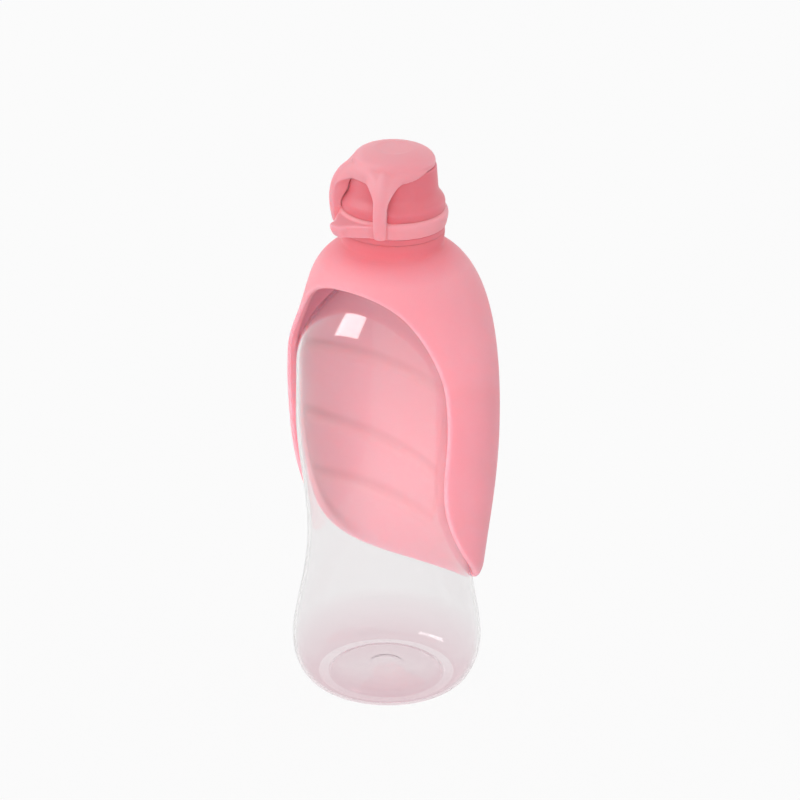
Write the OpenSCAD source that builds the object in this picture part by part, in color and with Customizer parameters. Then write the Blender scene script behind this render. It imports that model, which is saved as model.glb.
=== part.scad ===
// Travel water bottle for dogs: a clear squeeze bottle, a soft leaf that flips up into a
// drinking bowl, and a screw cap whose spout is closed by a lid on two soft straps.
// The origin is on the table under the middle of the base and +Z is up.
// The leaf's tip is at the back, towards +Y, and its opening faces -Y.

/* [Bottle] */
// Height of the body, from the table to where the shoulder begins
body_h = 134; // [128:1:146]
// Height of the shoulder, from the body up to the neck
shoulder_h = 34; // [32:1:38]
// Radius of the chest, the straight part under the shoulder
chest_r = 36.5; // [35:0.5:38]
// Height at which the chest reaches its full radius
chest_z = 115; // [108:1:122]
// Radius of the waist that a hand holds
waist_r = 31.6; // [31:0.2:33]
// Height of the waist
waist_z = 62.5; // [60:0.5:66]
// Radius of the foot at its widest place
foot_r = 37.2; // [36.4:0.2:37.6]
// Height of the foot's widest place
foot_z = 18.2; // [16:0.2:20]
// Outer radius of the flat ring that the bottle stands on
stand_r = 27; // [24:0.5:28]
// Radius of the hollow under the base
punt_r = 22; // [18:0.5:23]
// Depth of the hollow under the base
punt_h = 3; // [2:0.5:5]
// Radius of the round boss in the middle of the base
boss_r = 7; // [6:0.5:10]
// How far the boss is pressed in above the hollow
boss_h = 1.2; // [0.6:0.1:2]
// Wall of the bottle
bottle_wall = 1.2; // [0.9:0.1:1.6]
// Height over which the bore narrows above the shoulder
throat_h = 4; // [3:0.5:6]

/* [Neck] */
// Radius of the neck below its bead
neck_r = 17; // [16.6:0.1:17.4]
// Height of the neck below its bead
neck_h = 20.2; // [18:0.2:24]
// Radius of the bead that keeps the leaf's collar down
bead_r = 18.9; // [18.4:0.1:19.1]
// Thickness of the bead
bead_h = 1.2; // [1:0.1:2]
// Height of the threaded finish, from the bead to the rim
finish_h = 11.6; // [11.2:0.2:13]
// How far the finish steps in from the neck
finish_step = 0.7; // [0.5:0.1:1]
// Radius of the neck's bore
mouth_r = 14.6; // [13.5:0.1:15]
// Chamfer on the rim
rim_chamfer = 0.4; // [0.2:0.1:0.6]
// Pitch of the screw thread
pitch = 3.6; // [3.2:0.1:3.6]
// Height of the thread above the finish
thread_h = 1; // [0.8:0.1:1.1]
// Width of the thread at its root
thread_w = 1.6; // [1.4:0.1:1.7]
// Width of the thread at its crest
thread_crest = 0.7; // [0.5:0.1:0.9]
// Plain height under the neck's thread
thread_start = 1.4; // [1.2:0.1:1.6]
// Turns of thread on the neck
neck_turns = 2; // [1.75:0.25:2]
// Turns of thread in the cap
cap_turns = 1.5; // [1:0.25:1.5]

/* [Leaf] */
// Thickness of the leaf and of its collar
leaf_wall = 2; // [1.6:0.1:2.4]
// Air between the chest and the leaf
leaf_air = 3.9; // [3:0.1:4.5]
// Height of the leaf's widest place
leaf_z = 107; // [102:1:112]
// Height of the leaf's tip above the table
tip_z = 33; // [30:1:36]
// Height of the foot of the leaf, which follows the bottle
tip_follow = 10; // [9:0.5:12]
// Air between the foot of the leaf and the bottle
tip_air = 2; // [1.2:0.1:2.4]
// Height of the leaf's tip piece, which a hand pulls to flip the leaf
pull_h = 8; // [6:0.5:10]
// Length of the collar on the neck
collar_h = 11; // [9:0.5:13]
// Distance from the collar's top to where the cape starts
cape_drop = 4.4; // [3:0.1:5]
// How far the leaf's opening starts under the collar
arch_drop = 2; // [1.5:0.5:4]
// How far under the leaf's widest place each rib leaves the midrib
rib_drop = [2, 37.5, 57]; // [1:0.5:60]
// How far each rib would rise in a quarter turn round the leaf
rib_rise = [26.1, 31.5, 27]; // [24:0.1:34]
// How far the midrib reaches above the leaf's widest place
midrib_rise = 41; // [32:1:44]
// How far the ribs stop short of the leaf's collar and foot
rib_stop = 5; // [4:0.5:8]
// Height of the ribs on the leaf's inside
rib_h = 1.2; // [0.8:0.1:1.5]
// Width of a rib
rib_w = 5.5; // [4:0.5:6.5]
// Width of the raised hem along the leaf's edge
hem_w = 4; // [3:0.5:6]

/* [Cap] */
// Wall of the cap's skirt where the cover sits in its groove
cap_wall = 1.35; // [1.2:0.05:1.6]
// Depth of the groove that holds the cover's ring
groove_d = 0.65; // [0.5:0.05:0.9]
// Height of the lip under the groove
lip_h = 2.2; // [1.6:0.1:2.6]
// Height of the cover's ring
ring_h = 6.2; // [5.6:0.1:6.6]
// Height of the plain band above the groove
band_h = 2.9; // [2.6:0.1:3.4]
// Height of the shoulder between the skirt and the tower
cap_shoulder_h = 5.7; // [5:0.1:7]
// Radius of the tower at its foot
tower_foot_r = 16.9; // [16.6:0.1:17.2]
// Radius of the tower at its top
tower_r = 16.1; // [15.9:0.1:16.4]
// Height of the tower above the cap's shoulder
tower_h = 6.5; // [6:0.5:9]
// Radius of the chamber inside the tower
chamber_r = 14.4; // [13.6:0.1:14.6]
// Thickness of the plate on top of the tower
plate_h = 1.8; // [1.4:0.1:2]
// Outer radius of the spout
spout_r = 9.5; // [9:0.1:10]
// Height of the spout above the plate
spout_h = 3.8; // [3:0.1:4]
// Wall of the spout
spout_wall = 2.5; // [2:0.1:3]

/* [Valve and seal] */
// Thickness of the seal on the neck's rim
seal_h = 1.2; // [1:0.1:1.4]
// Width of the valve's flange outside the spout's bore
flange_w = 1.2; // [1:0.1:1.4]
// Thickness of the valve's flange
flange_h = 1.1; // [0.9:0.1:1.3]
// Thickness of the valve's dome
dome_wall = 0.9; // [0.7:0.1:1.1]
// Rise of the valve's dome
dome_h = 2.2; // [1.6:0.1:2.4]
// Width of the cross slit in the dome
slit_w = 0.3; // [0.2:0.1:0.4]
// Length of the cross slit
slit_l = 6; // [4:0.5:7]
// Height of the ring that holds the valve
retainer_h = 1.5; // [1.2:0.1:1.8]
// Wall of the socket that the valve and its ring press into
socket_wall = 1.6; // [1.2:0.1:1.8]

/* [Cover] */
// Turn of the cover about the bottle, from the middle of the leaf's opening
cover_turn = -12; // [-180:1:180]
// Wall of the cover's ring
ring_wall = 2; // [1.8:0.1:2.2]
// Thickness of the tongue
tongue_h = 5; // [4:0.2:5.4]
// Radius of the tongue's round nose
nose_r = 3.8; // [3:0.1:4.4]
// Distance of the middle of that round from the ring's outside
nose_out = 4.9; // [3:0.1:5.4]
// Half width of the tongue where it leaves the ring
tongue_w = 8.5; // [7.5:0.5:9.5]
// Angle from the tongue to each strap
strap_turn = 37; // [34:1:42]
// Width of a strap
strap_w = 5; // [4:0.5:6]
// Thickness of a strap
strap_t = 3; // [2.4:0.1:3.2]
// How far a strap's foot stands above the ring's underside
strap_foot = 0.6; // [0.4:0.1:1]
// How far a strap bows out past the ring
strap_bow = 3.7; // [2.4:0.1:4.2]
// Height of the lid's rim
rim_h = 4.1; // [3.6:0.1:5]
// Height of the lid's crown above its rim
crown_h = 4.3; // [4:0.1:5]
// How far the crown's edge is rounded in from the rim
crown_in = 3; // [2:0.1:3.4]
// Radius of the shallow ring on top of the lid
mark_r = 6; // [4:0.5:8]
// Width of the crown's slope outside the shallow ring
crown_slope = 3; // [2:0.5:4]
// Depth of the shallow ring
mark_h = 0.4; // [0.2:0.1:0.6]
// Length of the plug that enters the spout
plug_h = 2.6; // [2:0.1:2.8]
// Taper of the plug, on its radius
plug_taper = 0.6; // [0.5:0.1:1]

/* [Clearances] */
// Air between parts that turn on each other
turn_gap = 0.2; // [0.15:0.05:0.3]
// Air across the threads, and round the seal between the skirt and the bore
thread_gap = 0.35; // [0.3:0.05:0.4]
// Air between soft parts that touch on the real object
touch_gap = 0.05; // [0.02:0.01:0.1]
// Air between the collar and the neck
collar_gap = 0.15; // [0.1:0.05:0.3]
// Air round the spout and the plug
spout_gap = 0.9; // [0.8:0.1:1.2]
// Air between the spout's rim and the lid's roof
roof_gap = 0.4; // [0.3:0.1:0.6]
// Air between the leaf and its tip piece
pull_gap = 0.3; // [0.2:0.1:0.5]

/* [Hidden] */
$fn = 96;
pink = [0.95, 0.55, 0.60];
deep_pink = [0.90, 0.42, 0.49];
clear = [0.86, 0.89, 0.91, 0.45];
milky = [0.95, 0.93, 0.92];

// Heights up the neck
neck_z = body_h + shoulder_h;
bead_z = neck_z + neck_h;
finish_z = bead_z + bead_h;
rim_z = finish_z + finish_h;
finish_r = neck_r - finish_step;

// Heights up the cap
skirt_z = finish_z + turn_gap;
groove_z = skirt_z + lip_h;
groove_h = ring_h + 2 * touch_gap;
skirt_top_z = groove_z + groove_h + band_h;
ledge_z = rim_z + seal_h + 2 * touch_gap;
tower_z = skirt_top_z + cap_shoulder_h;
plate_z = tower_z + tower_h;
spout_z = plate_z + spout_h;
skirt_bore_r = finish_r + thread_h + thread_gap;
groove_r = skirt_bore_r + cap_wall;
lip_r = groove_r + groove_d;
spout_bore_r = spout_r - spout_wall;
socket_r = spout_bore_r + flange_w + 2 * touch_gap;

// Sizes of the cover
ring_in_r = groove_r + touch_gap;
ring_r = ring_in_r + ring_wall;
ring_z = groove_z + touch_gap;
lid_z = plate_z + turn_gap;
lid_r = tower_r;
nose_y = ring_r + nose_out;
roof_z = spout_z + roof_gap;
lid_top_z = lid_z + rim_h;

// Sizes of the leaf
collar_top_z = bead_z - turn_gap;
collar_z = collar_top_z - collar_h;
collar_in_r = neck_r + collar_gap;
collar_r = collar_in_r + leaf_wall;
cape_z = collar_top_z - cape_drop;
leaf_r = chest_r + leaf_air + leaf_wall;
follow_z = tip_z + tip_follow;
pull_z = tip_z + pull_h;
arch_z = collar_z - arch_drop;

// A distance that clears the whole leaf, and how far a cut runs past what it cuts
far = 2 * leaf_r;
cut = 1;

// Fullness of each curve: where its two handles lie, as shares of its span across and along
shoulder_full = [0.82, 0.515, 0.82];
cape_full = [0.69, 0.094, 0.6];
blade_full = [0.42, 0.28];
cap_full = [0.4, 0.5];
strap_full = [0.45, 0.83];
// How far a curve's last handle stands out from where the curve ends
blade_flare = 1.3;
cap_flare = 0.4;
strap_flare = [0.4, 0.9, -0.2];

// Shape of the foot's swell: below 1, the foot draws in soon above its widest place
swell = 0.8;
corner_steps = 8;
side_steps = 26;
curve_steps = 9;
small_steps = 6;
thread_steps = 24;
fade_steps = 3;
foot_steps = 4;
// How far the leaf's section runs on below its tip, before the edge is cut
foot_lap = 2;
// Root of a thread, sunk in its wall
thread_sink = 0.4;

function ease(t) = (1 - cos(180 * t)) / 2;
function mix(a, b, t) = a + (b - a) * t;
function unit(v) = v / norm(v);
function reversed(p) = [for (i = [len(p) - 1:-1:0]) p[i]];
function bezier(p, n, first = 0) = [
    for (i = [first:n])
        let (t = i / n, s = 1 - t)
        s * s * s * p[0] + 3 * s * s * t * p[1] + 3 * s * t * t * p[2] + t * t * t * p[3]
];
// A curve moved sideways by d: to its left for d above zero
function beside(c, d) = [
    for (i = [0:len(c) - 1])
        let (v = unit(c[min(i + 1, len(c) - 1)] - c[max(i - 1, 0)]))
        c[i] + d * [-v[1], v[0]]
];

// Radius of the bottle's side at a height between the foot and the shoulder
function side_r(z) = z < waist_z
    ? mix(foot_r, waist_r, ease(pow(max(0, z - foot_z) / (waist_z - foot_z), swell)))
    : mix(waist_r, chest_r, ease(min(1, (z - waist_z) / (chest_z - waist_z))));

// The bottle's base, from the axis out to the ring that it stands on
base_line = [
    [0, punt_h + boss_h],
    [boss_r - boss_h, punt_h + boss_h],
    [boss_r, punt_h],
    [punt_r - punt_h / 2, punt_h / 2],
    [punt_r, 0],
];
corner_line = [
    for (i = [0:corner_steps])
        let (a = 90 * i / corner_steps)
        [mix(stand_r, foot_r, sin(a)), foot_z * (1 - cos(a))]
];
side_line = [
    for (i = [1:side_steps])
        let (z = mix(foot_z, body_h, i / side_steps))
        [side_r(z), z]
];
shoulder_line = bezier([
    [chest_r, body_h],
    [chest_r, body_h + shoulder_full[1] * shoulder_h],
    [mix(chest_r, neck_r, shoulder_full[0]), body_h + shoulder_full[2] * shoulder_h],
    [neck_r, neck_z],
], curve_steps, 1);
body_line = concat(corner_line, side_line, shoulder_line);

// A screw thread as one ribbon: each ring of four points is a section of the thread
module thread(root_r, crest_r, z, turns, start) {
    steps = round(turns * thread_steps);
    out = crest_r > root_r;
    rings = [
        for (i = [0:steps])
            let (
                a = start + 360 * turns * i / steps,
                h = z + pitch * turns * i / steps,
                rise = min(1, (i + 0.2) / fade_steps, (steps - i + 0.2) / fade_steps),
                r = mix(root_r, crest_r, rise),
                low = [[root_r, -thread_w / 2], [r, -thread_crest / 2]],
                high = [[r, thread_crest / 2], [root_r, thread_w / 2]],
                section = out ? concat(low, high) : reversed(concat(low, high))
            )
            for (p = section) [p[0] * cos(a), p[0] * sin(a), h + p[1]]
    ];
    sides = [
        for (i = [0:steps - 1], k = [0:3])
            let (a = 4 * i + k, b = 4 * i + (k + 1) % 4)
            for (f = [[a, b, b + 4], [a, b + 4, a + 4]]) f
    ];
    last = 4 * steps;
    ends = [[0, 2, 1], [0, 3, 2], [last, last + 1, last + 2], [last, last + 2, last + 3]];
    polyhedron(rings, concat(sides, ends));
}

// Height of the middle of the neck's thread at its lower end
thread_z = finish_z + thread_w / 2 + thread_start;

module bottle() {
    lift = [0, bottle_wall];
    inside = concat(
        [for (p = base_line) p + lift],
        beside(body_line, bottle_wall),
        [[mouth_r, neck_z + throat_h], [mouth_r, rim_z]]
    );
    outside = concat(
        base_line,
        body_line,
        [
            [neck_r, bead_z],
            [bead_r, bead_z],
            [bead_r, finish_z],
            [finish_r, finish_z],
            [finish_r, rim_z - rim_chamfer],
            [finish_r - rim_chamfer, rim_z],
        ]
    );
    color(clear) {
        rotate_extrude() polygon(concat(outside, reversed(inside)));
        thread(finish_r - thread_sink, finish_r + thread_h, thread_z, neck_turns, 0);
    }
}

// Outside of the leaf in section, from the collar down to below the tip
cape_line = bezier([
    [collar_r, cape_z],
    [mix(collar_r, leaf_r, cape_full[0]), mix(cape_z, leaf_z, cape_full[1])],
    [leaf_r, mix(leaf_z, cape_z, cape_full[2])],
    [leaf_r, leaf_z],
], curve_steps);
follow_r = side_r(follow_z) + tip_air + leaf_wall;
blade_line = bezier([
    [leaf_r, leaf_z],
    [leaf_r, mix(leaf_z, follow_z, blade_full[0])],
    [follow_r + blade_flare, mix(follow_z, leaf_z, blade_full[1])],
    [follow_r, follow_z],
], curve_steps, 1);
foot_line = [
    for (k = [1:foot_steps])
        let (z = follow_z - k * (tip_follow + foot_lap) / foot_steps)
        [side_r(z) + tip_air + leaf_wall, z]
];
leaf_line = concat(cape_line, blade_line, foot_line);
leaf_inside = beside(leaf_line, -leaf_wall);
rib_inside = beside(leaf_line, -leaf_wall - rib_h);
rib_outside = beside(leaf_line, -leaf_wall / 2);

// Radius of the leaf's inside at a height, for the ribs
leaf_table = [for (p = reversed(leaf_inside)) [p[1], p[0]]];
function inside_r(z) = lookup(z, leaf_table);

// The leaf's edge seen from the side, as points of y and z, from the arch to the tip. Its
// handles are shares of the leaf's radius and of the height from the tip to the arch.
arch_share = [-0.677, 1];
upper_share = [[-0.36, 0.88], [-0.344, 0.67]];
mid_share = [-0.297, 0.486];
lower_share = [[-0.27, 0.268], [0.33, 0.054]];
function edge_at(share) = [share[0] * leaf_r, mix(tip_z, arch_z, share[1])];
tip_y = side_r(tip_z) + tip_air + leaf_wall;
upper_edge = bezier([
    edge_at(arch_share),
    edge_at(upper_share[0]),
    edge_at(upper_share[1]),
    edge_at(mid_share),
], curve_steps);
lower_edge = bezier([
    edge_at(mid_share),
    edge_at(lower_share[0]),
    edge_at(lower_share[1]),
    [tip_y, tip_z],
], curve_steps, 1);
edge_line = concat(upper_edge, lower_edge);

// A sheet drawn in the plane of y and z, thick across x
module across(points) {
    rotate([90, 0, 90]) linear_extrude(2 * far, center = true) polygon(points);
}

// The front of the leaf, which is open
module opening() {
    across(concat(edge_line, [[far, tip_z], [far, -far], [-far, -far], [-far, arch_z]]));
}

module slice(low, high) {
    intersection() {
        children();
        translate([0, 0, low]) cylinder(h = high - low, r = far);
    }
}

module leaf_shell() {
    rotate_extrude() polygon(concat(leaf_line, reversed(leaf_inside)));
}

// Where the ribs end, as an angle round the leaf from the midrib
rib_end = 112;
rib_steps = 8;

module rib_band(z, rise) {
    low = [
        for (i = [0:rib_steps])
            let (a = rib_end * i / rib_steps, h = z + rise * a / 90)
            [inside_r(h) * cos(a), h - rib_w / 2]
    ];
    high = [for (p = low) p + [0, rib_w]];
    across(concat([[far, low[0][1]]], low, reversed(high), [[far, high[0][1]]]));
}

module leaf_ribs() {
    intersection() {
        slice(follow_z + rib_stop, collar_z - rib_stop) {
            rotate_extrude() polygon(concat(rib_outside, reversed(rib_inside)));
        }
        union() {
            for (i = [0:len(rib_drop) - 1]) rib_band(leaf_z - rib_drop[i], rib_rise[i]);
            translate([-rib_w / 2, 0, follow_z]) {
                cube([rib_w, far, leaf_z + midrib_rise - follow_z]);
            }
            across(concat(edge_line, reversed(beside(edge_line, hem_w))));
        }
    }
}

module leaf_collar() {
    color(pink) {
        slice(collar_z, collar_top_z) leaf_shell();
        difference() {
            translate([0, 0, collar_z]) cylinder(h = collar_h, r = collar_r);
            translate([0, 0, collar_z - cut]) cylinder(h = collar_h + 2 * cut, r = collar_in_r);
        }
    }
}

module leaf_bowl() {
    color(pink) difference() {
        union() {
            slice(pull_z, collar_z) leaf_shell();
            leaf_ribs();
        }
        opening();
    }
}

module leaf_tip() {
    color(pink) difference() {
        slice(tip_z - foot_lap, pull_z - pull_gap) leaf_shell();
        opening();
    }
}

module neck_seal() {
    color(milky) translate([0, 0, rim_z + touch_gap]) difference() {
        cylinder(h = seal_h, r = skirt_bore_r - thread_gap);
        translate([0, 0, -cut]) cylinder(h = seal_h + 2 * cut, r = mouth_r + thread_gap);
    }
}

module cap_body() {
    shoulder = bezier([
        [lip_r, skirt_top_z],
        [lip_r - cap_flare, mix(skirt_top_z, tower_z, cap_full[0])],
        [tower_foot_r + cap_flare, mix(skirt_top_z, tower_z, cap_full[1])],
        [tower_foot_r, tower_z],
    ], small_steps);
    socket_h = flange_h + retainer_h + 4 * touch_gap;
    under_z = plate_z - plate_h;
    profile = concat(
        [
            [skirt_bore_r, skirt_z],
            [lip_r, skirt_z],
            [lip_r, groove_z],
            [groove_r, groove_z],
            [groove_r, groove_z + groove_h],
            [lip_r, groove_z + groove_h],
        ],
        shoulder,
        [
            [tower_r, plate_z],
            [spout_r, plate_z],
            [spout_r, spout_z],
            [spout_bore_r, spout_z],
            [spout_bore_r, under_z],
            [socket_r, under_z],
            [socket_r, under_z - socket_h],
            [socket_r + socket_wall, under_z - socket_h],
            [socket_r + socket_wall, under_z],
            [chamber_r, under_z],
            [chamber_r, ledge_z],
            [skirt_bore_r, ledge_z],
        ]
    );
    crest = finish_r + thread_gap;
    hang = (pitch - thread_w - thread_crest) / 2 + thread_crest - turn_gap;
    first = 360 * (neck_turns - cap_turns);
    z = thread_z + pitch * (neck_turns - cap_turns) - pitch + hang;
    color(deep_pink) {
        rotate_extrude() polygon(profile);
        thread(skirt_bore_r + thread_sink, crest, z, cap_turns, first);
    }
}

module spout_valve() {
    top_z = plate_z - plate_h - touch_gap;
    edge_r = spout_bore_r - 2 * touch_gap;
    angles = [for (i = [0:small_steps]) 90 * i / small_steps];
    dome = [for (a = angles) [edge_r * cos(a), top_z + dome_h * sin(a)]];
    under = [for (a = angles) [
        (edge_r - dome_wall) * cos(a),
        top_z + (dome_h - dome_wall) * sin(a) - flange_h * cos(a),
    ]];
    color(milky) difference() {
        rotate_extrude() polygon(concat(
            [
                [edge_r - dome_wall, top_z - flange_h],
                [socket_r - touch_gap, top_z - flange_h],
                [socket_r - touch_gap, top_z],
            ],
            dome,
            reversed(under)
        ));
        for (a = [0, 90]) rotate([0, 0, a]) translate([-slit_l / 2, -slit_w / 2, top_z]) {
            cube([slit_l, slit_w, 2 * dome_h]);
        }
    }
}

module valve_retainer() {
    top_z = plate_z - plate_h - flange_h - 2 * touch_gap;
    color(deep_pink) translate([0, 0, top_z - retainer_h]) difference() {
        cylinder(h = retainer_h, r = socket_r - touch_gap);
        translate([0, 0, -cut]) cylinder(h = retainer_h + 2 * cut, r = spout_bore_r - dome_wall);
    }
}

module cover_ring() {
    color(pink) rotate([0, 0, cover_turn]) difference() {
        union() {
            translate([0, 0, ring_z]) cylinder(h = ring_h, r = ring_r);
            translate([0, 0, ring_z + (ring_h - tongue_h) / 2]) linear_extrude(tongue_h) {
                translate([0, -nose_y]) circle(nose_r);
                polygon([
                    [-tongue_w, -groove_r],
                    [-nose_r, -nose_y],
                    [nose_r, -nose_y],
                    [tongue_w, -groove_r],
                ]);
            }
        }
        translate([0, 0, ring_z - cut]) cylinder(h = ring_h + 2 * cut, r = ring_in_r);
    }
}

// One strap in its own upright plane, from the ring up to the lid's rim
module strap(side) {
    reach = ring_r + strap_bow;
    strap_z = ring_z + strap_foot;
    root_r = lid_r - strap_t;
    outer = bezier([
        [ring_r + strap_flare[0], strap_z],
        [reach + strap_flare[1], mix(ring_z, lid_top_z, strap_full[0])],
        [reach + strap_flare[2], mix(ring_z, lid_top_z, strap_full[1])],
        [lid_r, lid_top_z],
    ], curve_steps);
    inner = [for (p = beside(outer, strap_t)) if (p[1] < lid_z + turn_gap) p];
    profile = concat(
        [[ring_in_r, strap_z]],
        outer,
        [[root_r, lid_top_z], [root_r, lid_z]],
        reversed(inner)
    );
    color(pink) rotate([0, 0, cover_turn + side * strap_turn]) difference() {
        rotate([90, 0, -90]) linear_extrude(strap_w, center = true) polygon(profile);
        translate([0, 0, ring_z - cut]) cylinder(h = ring_h + cut, r = ring_r + touch_gap);
        translate([0, 0, lid_z - cut]) cylinder(h = rim_h + 2 * cut, r = lid_r + touch_gap);
    }
}

module left_strap() {
    strap(-1);
}

module right_strap() {
    strap(1);
}

module cover_lid() {
    hole_r = spout_r + spout_gap;
    crown_z = lid_top_z + crown_h;
    edge = [
        for (i = [0:small_steps])
            let (a = 90 * i / small_steps)
            [lid_r - crown_in * (1 - cos(a)), lid_top_z + crown_h / 2 * sin(a)]
    ];
    profile = concat(
        [[hole_r, lid_z], [lid_r, lid_z]],
        edge,
        [
            [mark_r + crown_slope, crown_z - mark_h],
            [mark_r + mark_h, crown_z],
            [mark_r, crown_z - mark_h],
            [0, crown_z - mark_h],
            [0, roof_z],
            [hole_r, roof_z],
        ]
    );
    color(pink) rotate_extrude() polygon(profile);
}

module lid_plug() {
    top_r = spout_bore_r - spout_gap / 2;
    color(pink) translate([0, 0, roof_z - plug_h]) {
        cylinder(h = plug_h, r1 = top_r - plug_taper, r2 = top_r);
    }
}

bottle();
leaf_collar();
leaf_bowl();
leaf_tip();
neck_seal();
cap_body();
spout_valve();
valve_retainer();
cover_ring();
left_strap();
right_strap();
cover_lid();
lid_plug();
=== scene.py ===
# %% [markdown]
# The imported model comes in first, as a fixed frame: bodies, nodes and joints, in metres, with +Z up.
# Its box is kept, because whatever is modelled here has to stay inside it.

# %% Load the frame
import math

import bmesh
import bpy
import numpy as np
from mathutils import Matrix, Vector


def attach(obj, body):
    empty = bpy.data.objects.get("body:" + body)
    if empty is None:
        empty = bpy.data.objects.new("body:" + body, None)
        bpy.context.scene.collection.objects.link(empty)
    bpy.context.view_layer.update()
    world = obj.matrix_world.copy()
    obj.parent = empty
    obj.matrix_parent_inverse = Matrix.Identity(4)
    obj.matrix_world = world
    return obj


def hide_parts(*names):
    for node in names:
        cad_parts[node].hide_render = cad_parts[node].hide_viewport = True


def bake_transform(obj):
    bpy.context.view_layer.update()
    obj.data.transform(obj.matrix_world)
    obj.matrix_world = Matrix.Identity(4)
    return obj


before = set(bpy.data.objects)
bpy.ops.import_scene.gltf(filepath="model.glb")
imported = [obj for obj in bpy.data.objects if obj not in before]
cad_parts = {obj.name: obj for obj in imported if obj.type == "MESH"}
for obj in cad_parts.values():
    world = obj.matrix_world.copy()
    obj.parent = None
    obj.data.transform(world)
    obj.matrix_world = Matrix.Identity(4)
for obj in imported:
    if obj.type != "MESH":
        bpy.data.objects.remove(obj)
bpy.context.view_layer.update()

print("nodes:", sorted(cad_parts))

# %% [markdown]
# The picture was taken from the front right and a little above, with a long lens, and the bottle
# leans a degree in it. A camera is three turns and a place: round the object, down, and a roll.

# %% Camera
PICTURE = 800
VIEW_TURN = 38.0
CAMERA_OUT = 1.454
CAMERA_UP = 0.763
CAMERA_DOWN = 23.92
CAMERA_SIDE = -0.147
CAMERA_ROLL = 0.94
SENSOR = 36.0
LENS = 185.7

turn = math.radians(VIEW_TURN)
camera_data = bpy.data.cameras.new("camera")
camera_data.sensor_width = SENSOR
camera_data.lens = LENS
camera = bpy.data.objects.new("camera", camera_data)
bpy.context.scene.collection.objects.link(camera)
place = (CAMERA_OUT * math.sin(turn), -CAMERA_OUT * math.cos(turn), CAMERA_UP)
camera.matrix_world = (
    Matrix.Translation(place)
    @ Matrix.Rotation(math.radians(VIEW_TURN + CAMERA_SIDE), 4, "Z")
    @ Matrix.Rotation(math.radians(90 - CAMERA_DOWN), 4, "X")
    @ Matrix.Rotation(math.radians(CAMERA_ROLL), 4, "Z")
)
bpy.context.scene.camera = camera
print("camera at", [round(value, 3) for value in place])

# %% [markdown]
# Node trees are built by one small helper: it adds a node, sets its options, and fills each input
# with either a value or a link. The same helper serves shaders and Geometry Nodes.

# %% Node helper
def socket(sockets, key):
    if isinstance(key, int):
        return sockets[key]
    return [one for one in sockets if one.name == key and one.enabled][0]


def add(tree, kind, inputs=None, **options):
    made = tree.nodes.new(kind)
    for key, value in options.items():
        setattr(made, key, value)
    for key, value in (inputs or {}).items():
        target = socket(made.inputs, key)
        if isinstance(value, bpy.types.NodeSocket):
            tree.links.new(value, target)
        else:
            target.default_value = value
    return made


def arithmetic(tree, operation, *values):
    return add(tree, "ShaderNodeMath", dict(enumerate(values)), operation=operation).outputs[0]


def group_tree(name, kind, inputs, outputs):
    tree = bpy.data.node_groups.new(name, kind)
    for label, socket_type, value in inputs:
        made = tree.interface.new_socket(label, in_out="INPUT", socket_type=socket_type)
        if value is not None:
            made.default_value = value
    for label, socket_type in outputs:
        tree.interface.new_socket(label, in_out="OUTPUT", socket_type=socket_type)
    return tree, tree.nodes.new("NodeGroupInput"), tree.nodes.new("NodeGroupOutput")


print("node helper ready")

# %% [markdown]
# Moulded silicone and plastic are never one flat colour. The resin clouds a little as it flows,
# the mould leaves a fine grain, and handling leaves a few duller patches. One shader group makes
# these three for every material, from noise on Object coordinates.

# %% Moulded surface group
def moulded_group():
    tree, given, result = group_tree(
        "Moulded surface",
        "ShaderNodeTree",
        [
            ("Colour", "NodeSocketColor", (0.8, 0.8, 0.8, 1)),
            ("Cloud colour", "NodeSocketColor", (0.8, 0.8, 0.8, 1)),
            ("Cloud scale", "NodeSocketFloat", 30.0),
            ("Grain scale", "NodeSocketFloat", 2500.0),
            ("Smooth", "NodeSocketFloat", 0.4),
            ("Dull", "NodeSocketFloat", 0.5),
        ],
        [
            ("Colour", "NodeSocketColor"),
            ("Roughness", "NodeSocketFloat"),
            ("Grain", "NodeSocketFloat"),
        ],
    )
    place = add(tree, "ShaderNodeTexCoord").outputs["Object"]
    cloud = add(
        tree,
        "ShaderNodeTexNoise",
        {"Vector": place, "Scale": given.outputs["Cloud scale"], "Detail": 4.0, "Roughness": 0.55},
    )
    grain = add(
        tree,
        "ShaderNodeTexNoise",
        {"Vector": place, "Scale": given.outputs["Grain scale"], "Detail": 2.0},
    )
    spread = add(
        tree,
        "ShaderNodeMapRange",
        {"Value": cloud.outputs[0], "From Min": 0.35, "From Max": 0.65},
    ).outputs[0]
    colour = add(
        tree,
        "ShaderNodeMix",
        {
            "Factor": spread,
            "A": given.outputs["Colour"],
            "B": given.outputs["Cloud colour"],
        },
        data_type="RGBA",
    )
    dull = add(
        tree,
        "ShaderNodeMapRange",
        {
            "Value": grain.outputs[0],
            "From Min": 0.3,
            "From Max": 0.7,
            "To Min": given.outputs["Smooth"],
            "To Max": given.outputs["Dull"],
        },
    )
    tree.links.new(socket(colour.outputs, "Result"), result.inputs["Colour"])
    tree.links.new(dull.outputs[0], result.inputs["Roughness"])
    tree.links.new(grain.outputs[0], result.inputs["Grain"])
    return tree


MOULDED = moulded_group()
print("shader group:", MOULDED.name)
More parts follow.
